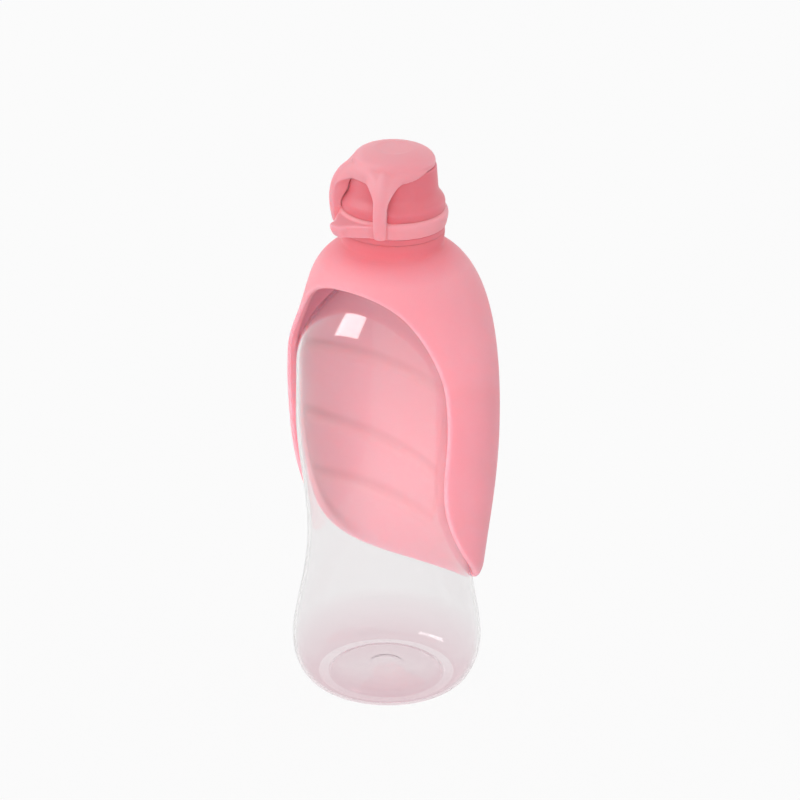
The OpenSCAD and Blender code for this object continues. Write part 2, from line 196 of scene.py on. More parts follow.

# %% [markdown]
# Each finish is a short function call on that group: soft silicone for the leaf and the cover,
# harder plastic for the cap, and a clear plastic for the bottle. Light goes some way into the pink
# mouldings and comes out again, so thin walls glow. The leaf's sleeve has a deeper pink painted in
# for the shade under the cap and the cover's ring, and the clear plastic has a painted pink
# reflection of the leaf towards its base.

# %% Materials
def painted_by_height(tree, colour, tint, none_z, full_z):
    """Mixes painted light in from one height, where there is none of it, to another, where it is full."""
    place = add(tree, "ShaderNodeTexCoord").outputs["Object"]
    z = add(tree, "ShaderNodeSeparateXYZ", {"Vector": place}).outputs["Z"]
    share = add(tree, "ShaderNodeMapRange", {"Value": z, "From Min": none_z, "From Max": full_z})
    mixed = add(
        tree,
        "ShaderNodeMix",
        {"Factor": share.outputs[0], "A": colour, "B": (*tint, 1)},
        data_type="RGBA",
    )
    return socket(mixed.outputs, "Result")


def moulded_material(
    name, colour, cloud, cloud_scale, grain_scale, smooth, dull, grain, tint=None, **constants
):
    material = bpy.data.materials.new(name)
    material.use_nodes = True
    tree = material.node_tree
    tree.nodes.clear()
    surface = add(
        tree,
        "ShaderNodeGroup",
        None,
        node_tree=MOULDED,
    )
    values = {
        "Colour": (*colour, 1),
        "Cloud colour": (*cloud, 1),
        "Cloud scale": cloud_scale,
        "Grain scale": grain_scale,
        "Smooth": smooth,
        "Dull": dull,
    }
    for key, value in values.items():
        surface.inputs[key].default_value = value
    bump = add(
        tree,
        "ShaderNodeBump",
        {"Height": surface.outputs["Grain"], "Strength": grain, "Distance": 0.0001},
    )
    base = surface.outputs["Colour"]
    # A tint, where one is given, is painted light laid into the colour by height.
    if tint:
        base = painted_by_height(tree, base, *tint)
    shader = add(
        tree,
        "ShaderNodeBsdfPrincipled",
        {
            "Base Color": base,
            "Roughness": surface.outputs["Roughness"],
            "Normal": bump.outputs[0],
            **constants,
        },
    )
    add(tree, "ShaderNodeOutputMaterial", {"Surface": shader.outputs[0]})
    return material


def soft(scale):
    """Light that goes into a silicone or a plastic, as deep as a scale in metres allows."""
    radius = (0.12, 0.4, 0.44)
    return {"Subsurface Weight": 1.0, "Subsurface Radius": radius, "Subsurface Scale": scale}


# The leaf's tint is painted shade: a deeper pink on its sleeve and cape top, under the cap and ring.
leaf_silicone = moulded_material(
    "leaf silicone",
    (0.84, 0.335, 0.38),
    (0.83, 0.315, 0.36),
    22,
    2200,
    0.5,
    0.62,
    0.25,
    tint=((0.81, 0.2, 0.24), 0.176, 0.186),
    **soft(0.015),
)
cover_silicone = moulded_material(
    "cover silicone", (0.86, 0.36, 0.405), (0.855, 0.34, 0.385), 40, 2600, 0.46, 0.58, 0.22, **soft(0.006)
)
cap_plastic = moulded_material(
    "cap plastic", (0.77, 0.2, 0.24), (0.76, 0.19, 0.23), 60, 3200, 0.4, 0.5, 0.15, **soft(0.008)
)
seal_silicone = moulded_material(
    "seal silicone", (0.86, 0.85, 0.84), (0.82, 0.81, 0.8), 90, 3500, 0.4, 0.55, 0.2
)
# The clear plastic's tint is a painted reflection: the leaf's pink laid in towards the bottle's base.
clear_plastic = moulded_material(
    "clear plastic",
    (0.915, 0.909, 0.912),
    (0.905, 0.899, 0.902),
    12,
    60,
    0.02,
    0.05,
    0.015,
    tint=((0.82, 0.66, 0.7), 0.02, 0.0),
    **{"Transmission Weight": 0.97, "IOR": 1.46},
)


def lamps_pass(material, tint):
    """Lets lamp light straight through, as a thin clear wall does, while the camera sees glass."""
    tree = material.node_tree
    output = [one for one in tree.nodes if one.type == "OUTPUT_MATERIAL"][0]
    glass = output.inputs["Surface"].links[0].from_socket
    path = add(tree, "ShaderNodeLightPath").outputs
    passing = arithmetic(tree, "MAXIMUM", path["Is Shadow Ray"], path["Is Diffuse Ray"])
    clear = add(tree, "ShaderNodeBsdfTransparent", {"Color": (*tint, 1)})
    mixed = add(tree, "ShaderNodeMixShader", {0: passing, 1: glass, 2: clear.outputs[0]})
    tree.links.new(mixed.outputs[0], output.inputs["Surface"])


lamps_pass(clear_plastic, (1.0, 1.0, 1.0))
print("materials:", [one.name for one in bpy.data.materials if one.users])

# %% [markdown]
# Sizes are written in millimetres, as on a drawing, and become metres when a mesh is made. A curve
# is a cubic Bezier with its two ends and two handles, and a corner is rounded by a short arc.

# %% Curves
MM = 0.001


def bezier(points, count):
    start, first, second, end = np.array(points, float)
    t = np.linspace(0, 1, count)[:, None]
    s = 1 - t
    return s**3 * start + 3 * s * s * t * first + 3 * s * t * t * second + t**3 * end


def ease(t):
    return (1 - np.cos(np.pi * np.clip(t, 0, 1))) / 2


def rounded(corners, steps=5):
    """A line through (x, y, radius) corners, each corner rounded where its radius is above 0."""
    corners = [np.array(corner, float) for corner in corners]
    line = []
    for i, corner in enumerate(corners):
        here, radius = corner[:2], corner[2]
        if radius == 0 or i in (0, len(corners) - 1):
            line.append(here)
            continue
        ends = []
        for other in (corners[i - 1][:2], corners[i + 1][:2]):
            away = other - here
            length = np.linalg.norm(away)
            ends.append(here + away / length * min(radius, 0.49 * length))
        for t in np.linspace(0, 1, steps):
            line.append((1 - t) ** 2 * ends[0] + 2 * t * (1 - t) * here + t * t * ends[1])
    return np.array(line)


def plain_object(name, points, faces, material):
    mesh = bpy.data.meshes.new(name)
    mesh.from_pydata((np.asarray(points) * MM).tolist(), [], faces)
    mesh.materials.append(material)
    made = bpy.data.objects.new(name, mesh)
    bpy.context.scene.collection.objects.link(made)
    return made


def outward(made):
    """Points every face of a closed mesh outwards and shades it smooth."""
    work = bmesh.new()
    work.from_mesh(made.data)
    bmesh.ops.recalc_face_normals(work, faces=work.faces)
    work.to_mesh(made.data)
    work.free()
    made.data.shade_smooth()
    return made


print("curve helpers ready")

# %% [markdown]
# The bottle, the cap and the cover's ring are round about the upright axis, so one rule makes them
# all: take a line of points and turn it. Geometry Nodes do it here. The object's own mesh holds
# the line, a grid gives one column of vertices for each step of the turn, and each vertex looks up
# its point on the line by its index.

# %% Lathe tree
def lathe_tree():
    tree, given, result = group_tree(
        "Lathe",
        "GeometryNodeTree",
        [
            ("Geometry", "NodeSocketGeometry", None),
            ("Segments", "NodeSocketInt", 96),
            ("Material", "NodeSocketMaterial", None),
        ],
        [("Geometry", "NodeSocketGeometry")],
    )
    line = given.outputs["Geometry"]
    segments = given.outputs["Segments"]
    count = add(tree, "GeometryNodeAttributeDomainSize", {"Geometry": line}).outputs["Point Count"]
    columns = arithmetic(tree, "ADD", segments, 1)
    grid = add(tree, "GeometryNodeMeshGrid", {"Vertices X": columns, "Vertices Y": count})
    index = add(tree, "GeometryNodeInputIndex").outputs[0]
    along = arithmetic(tree, "MODULO", index, count)
    column = arithmetic(tree, "FLOOR", arithmetic(tree, "DIVIDE", index, count))
    step = arithmetic(tree, "DIVIDE", 2 * math.pi, segments)
    point = add(
        tree,
        "GeometryNodeSampleIndex",
        {"Geometry": line, "Index": along},
        data_type="FLOAT_VECTOR",
    )
    position = add(tree, "GeometryNodeInputPosition").outputs[0]
    tree.links.new(position, socket(point.inputs, "Value"))
    turned = add(
        tree,
        "ShaderNodeVectorRotate",
        {
            "Vector": socket(point.outputs, "Value"),
            "Axis": (0, 0, 1),
            "Angle": arithmetic(tree, "MULTIPLY", column, step),
        },
        rotation_type="AXIS_ANGLE",
    )
    placed = add(
        tree,
        "GeometryNodeSetPosition",
        {"Geometry": grid.outputs["Mesh"], "Position": turned.outputs[0]},
    )
    closed = add(
        tree, "GeometryNodeMergeByDistance", {"Geometry": placed.outputs[0], "Distance": 1e-6}
    )
    real = add(tree, "GeometryNodeRealizeInstances", {"Geometry": closed.outputs[0]})
    finished = add(
        tree,
        "GeometryNodeSetMaterial",
        {"Geometry": real.outputs[0], "Material": given.outputs["Material"]},
    )
    tree.links.new(finished.outputs[0], result.inputs[0])
    return tree


def grown(made, tree, **inputs):
    """Runs a tree on an object and keeps what it makes as the object's own plain mesh."""
    modifier = made.modifiers.new(tree.name, "NODES")
    modifier.node_group = tree
    for item in tree.interface.items_tree:
        if item.in_out == "INPUT" and item.name in inputs:
            modifier[item.identifier] = inputs[item.name]
    ready = made.evaluated_get(bpy.context.evaluated_depsgraph_get())
    mesh = bpy.data.meshes.new_from_object(ready)
    made.modifiers.remove(modifier)
    made.data = mesh
    return outward(made)


LATHE = lathe_tree()


def turned_piece(name, profile, material, segments):
    points = [(radius, 0, height) for radius, height in profile]
    made = plain_object(name, points, [], material)
    return grown(made, LATHE, Segments=segments, Material=material)


print("lathe tree:", len(LATHE.nodes), "nodes")

# %% [markdown]
# The bottle is blown in one piece. Its side is two eased curves that meet at the waist, over a
# foot with a quarter ellipse for a corner. The base is pushed in, with a round boss in the middle.
# The wall is real: the inside line runs back down at the wall's thickness, so that light bends
# through two faces as it does in the real one.

# %% Bottle sizes
BODY_H = 134.0
SHOULDER_H = 34.0
CHEST_R = 36.5
CHEST_Z = 115.0
WAIST_R = 31.6
WAIST_Z = 62.5
FOOT_R = 37.17
FOOT_Z = 18.2
STAND_R = 27.0
PUNT_R = 22.0
PUNT_H = 3.0
BOSS_R = 7.0
BOSS_H = 1.4
WALL = 1.2
SWELL = 0.8
NECK_Z = BODY_H + SHOULDER_H
NECK_R = 17.0
BEAD_Z = 188.2
BEAD_R = 18.9
FINISH_Z = 189.4
FINISH_R = 16.3
MOUTH_R = 14.6
RIM_Z = 201.0
BOTTLE_SEGMENTS = 192


def side_r(z):
    foot = FOOT_R + (WAIST_R - FOOT_R) * ease((np.maximum(0, z - FOOT_Z) / (WAIST_Z - FOOT_Z)) ** SWELL)
    chest = WAIST_R + (CHEST_R - WAIST_R) * ease((z - WAIST_Z) / (CHEST_Z - WAIST_Z))
    return np.where(z < WAIST_Z, foot, chest)


print("waist", float(side_r(np.array(WAIST_Z))), "chest", float(side_r(np.array(BODY_H))))

# %% Bottle
def body_line():
    corner = np.linspace(0, math.pi / 2, 14)
    foot = np.stack([
        STAND_R + (FOOT_R - STAND_R) * np.sin(corner),
        FOOT_Z * (1 - np.cos(corner)),
    ], 1)
    heights = np.linspace(FOOT_Z, BODY_H, 70)[1:]
    side = np.stack([side_r(heights), heights], 1)
    shoulder = bezier([
        (CHEST_R, BODY_H),
        (CHEST_R, BODY_H + 0.515 * SHOULDER_H),
        (NECK_R + 3.5, NECK_Z - 0.18 * SHOULDER_H),
        (NECK_R, NECK_Z),
    ], 26)[1:]
    return np.concatenate([foot, side, shoulder])


def beside(line, distance):
    along = np.gradient(line, axis=0)
    along /= np.linalg.norm(along, axis=1)[:, None]
    return line + distance * np.stack([-along[:, 1], along[:, 0]], 1)


base = rounded([
    (0, PUNT_H + BOSS_H, 0),
    (BOSS_R - 2 * BOSS_H, PUNT_H + BOSS_H, 2.5),
    (BOSS_R + 0.6, PUNT_H, 2.5),
    (PUNT_R - 1.5, PUNT_H / 2, 1.5),
    (PUNT_R, 0.3, 0.5),
    (PUNT_R + 0.6, 0, 0.4),
    (STAND_R, 0, 0),
])
finish = rounded([
    (NECK_R, NECK_Z + 1, 0),
    (NECK_R, BEAD_Z, 0.4),
    (BEAD_R, BEAD_Z, 0.4),
    (BEAD_R, FINISH_Z, 0.4),
    (FINISH_R, FINISH_Z, 0.4),
    (FINISH_R, RIM_Z, 0.5),
    (MOUTH_R, RIM_Z, 0.5),
    (MOUTH_R, NECK_Z + 4, 2),
    (NECK_R - WALL, NECK_Z, 1),
    (NECK_R - WALL, NECK_Z - 0.5, 0),
])
outside = body_line()
inside = beside(outside, WALL)[::-1]
base_inside = (base + (0, WALL))[::-1]
bottle_line = np.concatenate([base[:-1], outside, finish, inside[1:-1], base_inside])
bottle = turned_piece("bottle_wall", bottle_line, clear_plastic, BOTTLE_SEGMENTS)
print("bottle:", len(bottle.data.polygons), "faces")

# %% [markdown]
# The neck's thread is a ridge that climbs two turns. A spiral curve with a small round section
# swept along it is made by a second tree.

# %% Neck thread
def thread_tree():
    tree, given, result = group_tree(
        "Thread",
        "GeometryNodeTree",
        [
            ("Geometry", "NodeSocketGeometry", None),
            ("Turns", "NodeSocketFloat", 2.0),
            ("Radius", "NodeSocketFloat", 0.0163),
            ("Rise", "NodeSocketFloat", 0.0072),
            ("Ridge", "NodeSocketFloat", 0.0009),
            ("Start", "NodeSocketVector", (0, 0, 0)),
            ("Material", "NodeSocketMaterial", None),
        ],
        [("Geometry", "NodeSocketGeometry")],
    )
    spiral = add(
        tree,
        "GeometryNodeCurveSpiral",
        {
            "Resolution": 96,
            "Rotations": given.outputs["Turns"],
            "Start Radius": given.outputs["Radius"],
            "End Radius": given.outputs["Radius"],
            "Height": given.outputs["Rise"],
        },
    )
    ridge = add(
        tree,
        "GeometryNodeCurvePrimitiveCircle",
        {"Resolution": 12, "Radius": given.outputs["Ridge"]},
    )
    swept = add(
        tree,
        "GeometryNodeCurveToMesh",
        {"Curve": spiral.outputs[0], "Profile Curve": ridge.outputs[0], "Fill Caps": True},
    )
    lifted = add(
        tree,
        "GeometryNodeSetPosition",
        {"Geometry": swept.outputs[0], "Offset": given.outputs["Start"]},
    )
    real = add(tree, "GeometryNodeRealizeInstances", {"Geometry": lifted.outputs[0]})
    finished = add(
        tree,
        "GeometryNodeSetMaterial",
        {"Geometry": real.outputs[0], "Material": given.outputs["Material"]},
    )
    tree.links.new(finished.outputs[0], result.inputs[0])
    return tree


PITCH = 3.6
THREAD_TURNS = 2.0
THREAD_Z = 191.6
THREAD_RIDGE = 0.9
thread = grown(
    plain_object("neck_thread", [(0, 0, 0)], [], clear_plastic),
    thread_tree(),
    Turns=THREAD_TURNS,
    Radius=FINISH_R * MM,
    Rise=PITCH * THREAD_TURNS * MM,
    Ridge=THREAD_RIDGE * MM,
    Start=(0, 0, THREAD_Z * MM),
    Material=clear_plastic,
)
print("thread:", len(thread.data.polygons), "faces")

# %% [markdown]
# The leaf is one soft moulding: a sleeve on the neck, a cape over the shoulder and a blade down
# the back, cut open at the front. Turning a line gives the form, and the edge is a free curve on
# it. So the mesh is laid out on the unrolled form: each column runs from the edge, square to it,
# up to the sleeve. Then the edge is clean and can be rounded, which no cut through a lathed mesh
# gives.

# %% Leaf section
LEAF_WALL = 2.0
LEAF_R = 42.4
LEAF_Z = 107.0
SLEEVE_IN_R = 17.15
SLEEVE_R = 19.15
SLEEVE_Z = 177.0
SLEEVE_TOP_Z = 189.5
LIP_IN_R = 18.95
LIP_OUT_R = 19.7
LIP_Z = 188.0
CAPE_Z = 183.6
ARCH_Z = 173.0
TIP_Z = 33.0
FOLLOW_Z = 43.0
TIP_AIR = 4.0
CAPE_START = 2.5

follow_r = float(side_r(np.array(FOLLOW_Z))) + TIP_AIR
cape = bezier([(SLEEVE_R, CAPE_Z), (35.2, 176.4), (LEAF_R, 153.0), (LEAF_R, LEAF_Z)], 90)
blade = bezier([(LEAF_R, LEAF_Z), (LEAF_R, 80.1), (follow_r + 1.3, 60.9), (follow_r, FOLLOW_Z)], 90)
foot_z = np.linspace(FOLLOW_Z, TIP_Z - 5, 20)
foot = np.stack([side_r(foot_z) + TIP_AIR, foot_z], 1)
leaf_outside = np.concatenate([cape, blade[1:], foot[1:]])
leaf_middle = beside(leaf_outside, -LEAF_WALL / 2)
leaf_steps = np.linalg.norm(np.diff(leaf_middle, axis=0), axis=1)
leaf_along = np.concatenate([[0], np.cumsum(leaf_steps)])
leaf_normal = beside(leaf_outside, 1) - leaf_outside


def section_at(along):
    """Radius, height and the outward direction of the leaf's middle, at a distance down it."""
    columns = [leaf_middle[:, 0], leaf_middle[:, 1], leaf_normal[:, 0], leaf_normal[:, 1]]
    return [np.interp(along, leaf_along, column) for column in columns]


print("leaf section:", round(leaf_along[-1], 1), "mm long")

# %% [markdown]
# Soft silicone clings a little to what it hangs on. Towards its opening the leaf is drawn in to the
# bottle's waist and to its shoulder, and at the back it stands off in a full round. Its lower end
# hangs a few degrees askew, and is tucked in along the tip's edge.

# %% Leaf drawn in
CLING = [(72.0, 55.0, 4.1), (158.0, 24.0, 2.7)]
CLING_FULL = math.radians(82)
CLING_END = math.radians(132)
SKEW = math.radians(-3.5)
SKEW_FULL_Z = 55.0
SKEW_END_Z = 135.0
TOP_SKEW = math.radians(-3.5)
TOP_SKEW_Z = 105.0
TOP_SKEW_FULL_Z = 160.0
TUCK = 1.6
TUCK_W = 6.0
TUCK_FULL_Z = 45.0
TUCK_END_Z = 70.0


def fade(value, start, end):
    t = np.clip((value - start) / (end - start), 0, 1)
    return t * t * (3 - 2 * t)


def drawn_in(turn_back, height):
    """How far the leaf is drawn in at an angle from the back and a height."""
    depth = np.zeros_like(height)
    for middle, half_height, most in CLING:
        t = np.clip((height - middle) / half_height, -1, 1)
        depth = depth + most * (1 + np.cos(np.pi * t)) / 2
    return depth * (1 - fade(math.pi - turn_back, CLING_FULL, CLING_END))


def tucked(height, from_edge):
    """How far the leaf's wall bends in beside its edge, near the tip."""
    near = (1 - np.clip(from_edge / TUCK_W, 0, 1)) ** 2
    return TUCK * near * (1 - fade(height, TUCK_FULL_Z, TUCK_END_Z))


def askew(height):
    """How far round the leaf is turned at a height: at its lower end, and again at its arch."""
    low = SKEW * (1 - fade(height, SKEW_FULL_Z, SKEW_END_Z))
    return low + TOP_SKEW * fade(height, TOP_SKEW_Z, TOP_SKEW_FULL_Z)


print("drawn in at the waist:", round(float(drawn_in(np.array(1.6), np.array(WAIST_Z))), 1), "mm")

# %% Leaf edge
UNROLL_R = 38.0
EDGE_SMOOTH = 3.0
COLUMNS = 300

tip_y = float(side_r(np.array(TIP_Z))) + TIP_AIR
edge_low = bezier([(tip_y, TIP_Z), (14.0, 44.3), (-14.6, 68.5), (-14.4, 102.0)], 400)
edge_high = bezier([(-14.4, 102.0), (-14.2, 128.0), (-16.0, 160.0), (-30.8, ARCH_Z)], 400)
edge = np.concatenate([edge_low, edge_high[1:]])
edge_r = np.interp(edge[:, 1], leaf_outside[::-1, 1], leaf_outside[::-1, 0])
edge_turn = np.arccos(np.clip(edge[:, 0] / edge_r, -1, 1))
for _ in range(6):
    edge_turn = np.arccos(np.clip(edge[:, 0] / (edge_r - drawn_in(edge_turn, edge[:, 1])), -1, 1))
edge_down = np.interp(edge[:, 1], leaf_middle[::-1, 1], leaf_along[::-1])
arch_turn = np.linspace(edge_turn[-1], math.pi, 60)[1:]
half = np.stack([
    np.concatenate([edge_turn, arch_turn]) * UNROLL_R,
    np.concatenate([edge_down, np.full(len(arch_turn), edge_down[-1])]),
], 1)
whole_turn = 2 * math.pi * UNROLL_R
loop = np.concatenate([half, (half[::-1] * (-1, 1) + (whole_turn, 0))[1:]])


def evenly(line, count):
    """The same line with its points at even distances."""
    steps = np.linalg.norm(np.diff(line, axis=0), axis=1)
    along = np.concatenate([[0], np.cumsum(steps)])
    even = np.linspace(0, along[-1], count)
    return np.stack([np.interp(even, along, line[:, k]) for k in range(2)], 1), along[-1]


def smoothed(line, length, width):
    """Rounds corners of a line that closes on itself after one turn."""
    count = len(line) - 1
    drift = np.stack([np.linspace(0, whole_turn, count + 1), np.zeros(count + 1)], 1)
    offset = (line - drift)[:-1]
    distance = np.minimum(np.arange(count), count - np.arange(count)) * length / count
    weight = np.exp(-0.5 * (distance / width) ** 2)
    weight /= weight.sum()
    spectrum = np.fft.rfft(offset, axis=0) * np.fft.rfft(weight)[:, None]
    soft = np.fft.irfft(spectrum, count, axis=0)
    return np.concatenate([soft, soft[:1]]) + drift


loop, loop_length = evenly(loop, 3001)
loop = smoothed(loop, loop_length, EDGE_SMOOTH)
loop, loop_length = evenly(loop, COLUMNS + 1)
print("leaf edge:", round(loop_length), "mm round")

# %% [markdown]
# The rows lie close together at the edge, where the wall rounds off, and evenly from there on. On
# the inside stand the ribs: a midrib, three pairs that rise to the sides, and a hem along the edge.

# %% Leaf ribs
RIB_W = 5.5
RIB_H = 1.2
RIB_Z = [105.0, 69.5, 50.0]
RIB_RISE = [26.1, 31.5, 27.0]
MIDRIB_TOP = 148.0
HEM_W = 4.0
RIB_FOOT = 50.0


def band(distance, half_width):
    """1 on the middle of a rib, falling smoothly to 0 past its sides."""
    return 1 - fade(np.abs(distance), 0.45 * half_width, 1.1 * half_width)


def rib_height(turn_back, height, from_edge):
    """How far the ribs stand up at a place: its angle from the back, height and edge distance."""
    up = np.zeros_like(height)
    for start, rise in zip(RIB_Z, RIB_RISE):
        line = start + rise * turn_back / (math.pi / 2)
        up = np.maximum(up, band(height - line, RIB_W / 2))
    midrib = band(turn_back * LEAF_R, RIB_W / 2) * (1 - fade(height, MIDRIB_TOP - 6, MIDRIB_TOP + 4))
    hem = (1 - fade(from_edge, HEM_W - 1, HEM_W + 1)) * fade(from_edge, 0.3, 1.6)
    up = np.maximum(np.maximum(up, midrib), hem)
    up *= fade(height, RIB_FOOT - 6, RIB_FOOT + 6) * (1 - fade(height, 168, 174))
    return RIB_H * up * fade(from_edge, 0.2, 1.4)


print("ribs at", RIB_Z)

# %% Leaf mesh
ROWS = 104
EDGE_ROWS = [0, 0.08, 0.3, 0.6, 1.0, 1.6, 2.4]


def leaf_columns():
    """Unrolled places of every column's points, from the edge to the sleeve."""
    tangent = np.gradient(loop, axis=0)
    tangent[0] = tangent[-1] = tangent[0] + tangent[-1]
    tangent /= np.linalg.norm(tangent, axis=1)[:, None]
    square = np.stack([tangent[:, 1], -tangent[:, 0]], 1)
    columns = []
    for k in range(COLUMNS):
        start = loop[k]
        end = np.array([whole_turn * k / COLUMNS, CAPE_START])
        reach = 0.35 * np.linalg.norm(end - start)
        path = bezier([start, start + reach * square[k], end + (0, reach), end], 160)
        steps = np.linalg.norm(np.diff(path, axis=0), axis=1)
        along = np.concatenate([[0], np.cumsum(steps)])
        rest = np.linspace(EDGE_ROWS[-1], along[-1], ROWS - len(EDGE_ROWS) + 1)[1:]
        wanted = np.concatenate([EDGE_ROWS, rest])
        place = [np.interp(wanted, along, path[:, i]) for i in range(2)]
        columns.append([place[0], place[1], wanted])
    return np.array(columns)


def leaf_mesh():
    around, down, from_edge = leaf_columns().transpose(1, 0, 2)
    angle = around / UNROLL_R
    radius, height, out_r, out_z = section_at(down)
    round_off = np.clip(from_edge / (LEAF_WALL / 2), 0, 1)
    thick = LEAF_WALL / 2 * np.sqrt(1 - (1 - round_off) ** 2)
    turn_back = np.minimum(angle, 2 * math.pi - angle)
    radius = radius - drawn_in(turn_back, height) - tucked(height, from_edge)
    angle = angle + askew(height)
    inner = thick + rib_height(turn_back, height, from_edge)
    sides = []
    for depth in (thick, -inner):
        sides.append(np.stack([radius + depth * out_r, height + depth * out_z, angle], 2))
    outer, inner_side = sides
    top, under = outer[0, -1], inner_side[0, -1]
    sleeve = rounded([
        (top[0], top[1], 0),
        (SLEEVE_R, CAPE_Z, 1.4),
        (LIP_OUT_R, LIP_Z, 1.0),
        (LIP_OUT_R, SLEEVE_TOP_Z, 0.15),
        (LIP_IN_R, SLEEVE_TOP_Z, 0.15),
        (LIP_IN_R, LIP_Z, 0.3),
        (SLEEVE_IN_R, LIP_Z, 0.3),
        (SLEEVE_IN_R, SLEEVE_Z, 0.6),
        (SLEEVE_R, SLEEVE_Z, 0.6),
        (SLEEVE_R, CAPE_Z - 2.35, 0.8),
        (under[0], under[1], 0),
    ])[1:-1]
    fixed = np.zeros((COLUMNS, len(sleeve), 3))
    fixed[:, :, :2] = sleeve
    fixed[:, :, 2] = outer[:, -1:, 2]
    section = np.concatenate([outer, fixed, inner_side[:, ::-1][:, :-1]], 1)
    radius, height, angle = section.transpose(2, 0, 1)
    points = np.stack([radius * np.sin(angle), radius * np.cos(angle), height], 2)
    count = section.shape[1]
    faces = []
    for k in range(COLUMNS):
        after = (k + 1) % COLUMNS
        for j in range(count):
            below = (j + 1) % count
            faces.append((
                k * count + j,
                k * count + below,
                after * count + below,
                after * count + j,
            ))
    return points.reshape(-1, 3), faces


leaf = outward(plain_object("leaf", *leaf_mesh(), leaf_silicone))
print("leaf:", len(leaf.data.polygons), "faces")

# %% [markdown]
# The cap is turned too: a skirt with a groove for the cover's ring, a shoulder, a tower and the
# spout. Each corner has its own small radius, as a mould gives it.

# %% Cap
SKIRT_Z = 189.6
LIP_R = 19.65
GROOVE_R = 19.0
GROOVE_Z = 191.8
GROOVE_TOP_Z = 198.1
SKIRT_TOP_Z = 201.0
TOWER_Z = 206.7
TOWER_FOOT_R = 16.9
TOWER_R = 16.1
TOWER_TOP_Z = 215.5
TOWER_RIM_R = 14.9
PLATE_Z = 213.2
PLATE_H = 1.8
SPOUT_R = 9.5
SPOUT_Z = 217.0
SPOUT_BORE_R = 7.0
SOCKET_R = 8.3
SOCKET_Z = 208.6
CHAMBER_R = 14.4
LEDGE_Z = 202.3
SKIRT_BORE_R = 17.65
CAP_SEGMENTS = 160

shoulder = bezier([
    (LIP_R, SKIRT_TOP_Z),
    (LIP_R - 0.4, SKIRT_TOP_Z + 2.3),
    (TOWER_FOOT_R + 0.4, TOWER_Z - 2.9),
    (TOWER_FOOT_R, TOWER_Z),
], 16)
skirt = rounded([
    (SKIRT_BORE_R, SKIRT_Z + 2, 0),
    (SKIRT_BORE_R, SKIRT_Z, 0.3),
    (LIP_R, SKIRT_Z, 0.15),
    (LIP_R, GROOVE_Z, 0.3),
    (GROOVE_R, GROOVE_Z, 0.3),
    (GROOVE_R, GROOVE_TOP_Z, 0.3),
    (LIP_R, GROOVE_TOP_Z, 0.4),
    (LIP_R, SKIRT_TOP_Z - 0.6, 0),
])
under_z = PLATE_Z - PLATE_H
spout = rounded([
    (TOWER_FOOT_R, TOWER_Z, 0),
    (TOWER_R, TOWER_TOP_Z, 0.7),
    (TOWER_RIM_R, TOWER_TOP_Z, 0.4),
    (TOWER_RIM_R, PLATE_Z, 0.5),
    (SPOUT_R, PLATE_Z, 0.6),
    (SPOUT_R, SPOUT_Z, 0.7),
    (SPOUT_BORE_R, SPOUT_Z, 0.7),
    (SPOUT_BORE_R, under_z, 0.3),
    (SOCKET_R, under_z, 0.2),
    (SOCKET_R, SOCKET_Z, 0.3),
    (SOCKET_R + 1.6, SOCKET_Z, 0.3),
    (SOCKET_R + 1.6, under_z, 0.4),
    (CHAMBER_R, under_z, 1.0),
    (CHAMBER_R, LEDGE_Z, 0.4),
    (SKIRT_BORE_R, LEDGE_Z, 0.4),
    (SKIRT_BORE_R, SKIRT_Z + 2, 0),
])
cap_line = np.concatenate([skirt, shoulder, spout[1:]])
cap = turned_piece("cap", cap_line, cap_plastic, CAP_SEGMENTS)
print("cap:", len(cap.data.polygons), "faces")

# %% [markdown]
# The cover is one soft moulding with no hard edge: ring, tongue, two straps and lid run into each
# other. It is built as closed pieces that overlap, which a voxel remesh joins into one skin, and
# a light smoothing rounds every joint like the fillets of a mould.

# %% Cover ring and lid
COVER_TURN = -12.0
RING_Z = 191.85
RING_H = 6.2
RING_IN_R = 19.05
RING_R = 21.05
RING_TAPER = 0.9
LID_Z = 215.8
LID_R = 15.7
LID_TOP_Z = 221.7
LID_INSIDE_R = 12.4
ROOF_Z = 217.6
MARK_R = 6.0
MARK_H = 0.15
PLUG_R = 6.55
PLUG_END_R = 5.95
PLUG_Z = 214.8

ring_line = rounded([
    (RING_IN_R, RING_Z + 3, 0),
    (RING_IN_R, RING_Z, 0.3),
    (RING_R - RING_TAPER, RING_Z, 0.7),
    (RING_R, RING_Z + 4.6, 1.6),
    (RING_R - 0.5, RING_Z + RING_H, 0.8),
    (LIP_R + 0.3, RING_Z + RING_H + 0.3, 0.3),
    (LIP_R - 0.25, RING_Z + RING_H + 0.9, 0.2),
    (RING_IN_R, RING_Z + RING_H, 0.1),
    (RING_IN_R, RING_Z + 3, 0),
])
lid_line = np.concatenate([
    rounded([
        (0, LID_TOP_Z - MARK_H, 0),
        (MARK_R, LID_TOP_Z - MARK_H, 0.5),
        (MARK_R + 0.8, LID_TOP_Z, 0.8),
    ]),
    bezier([(MARK_R + 1.6, LID_TOP_Z), (12.6, 221.0), (LID_R + 0.1, 219.4), (LID_R, LID_Z + 0.8)], 16),
    rounded([
        (LID_R, LID_Z + 0.7, 0),
        (LID_R, LID_Z, 0.6),
        (LID_INSIDE_R, LID_Z, 0.6),
        (LID_INSIDE_R, ROOF_Z, 0.8),
        (PLUG_R, ROOF_Z, 0.5),
        (PLUG_END_R, PLUG_Z, 0.8),
        (0, PLUG_Z, 0),
    ]),
])
COVER_SEGMENTS = 128
ring = turned_piece("ring", ring_line, cover_silicone, COVER_SEGMENTS)
lid = turned_piece("lid", lid_line, cover_silicone, COVER_SEGMENTS)
print("lid:", len(lid.data.polygons), "faces")

# %% [markdown]
# The straps and the front of the lid are one hood: a skin that starts under the lid's dome, comes
# down outside the tower's rim, opens as a round arch between the straps, and falls away in a wide
# sweep beyond them. It is laid out in columns round the axis, each with its own lowest height.

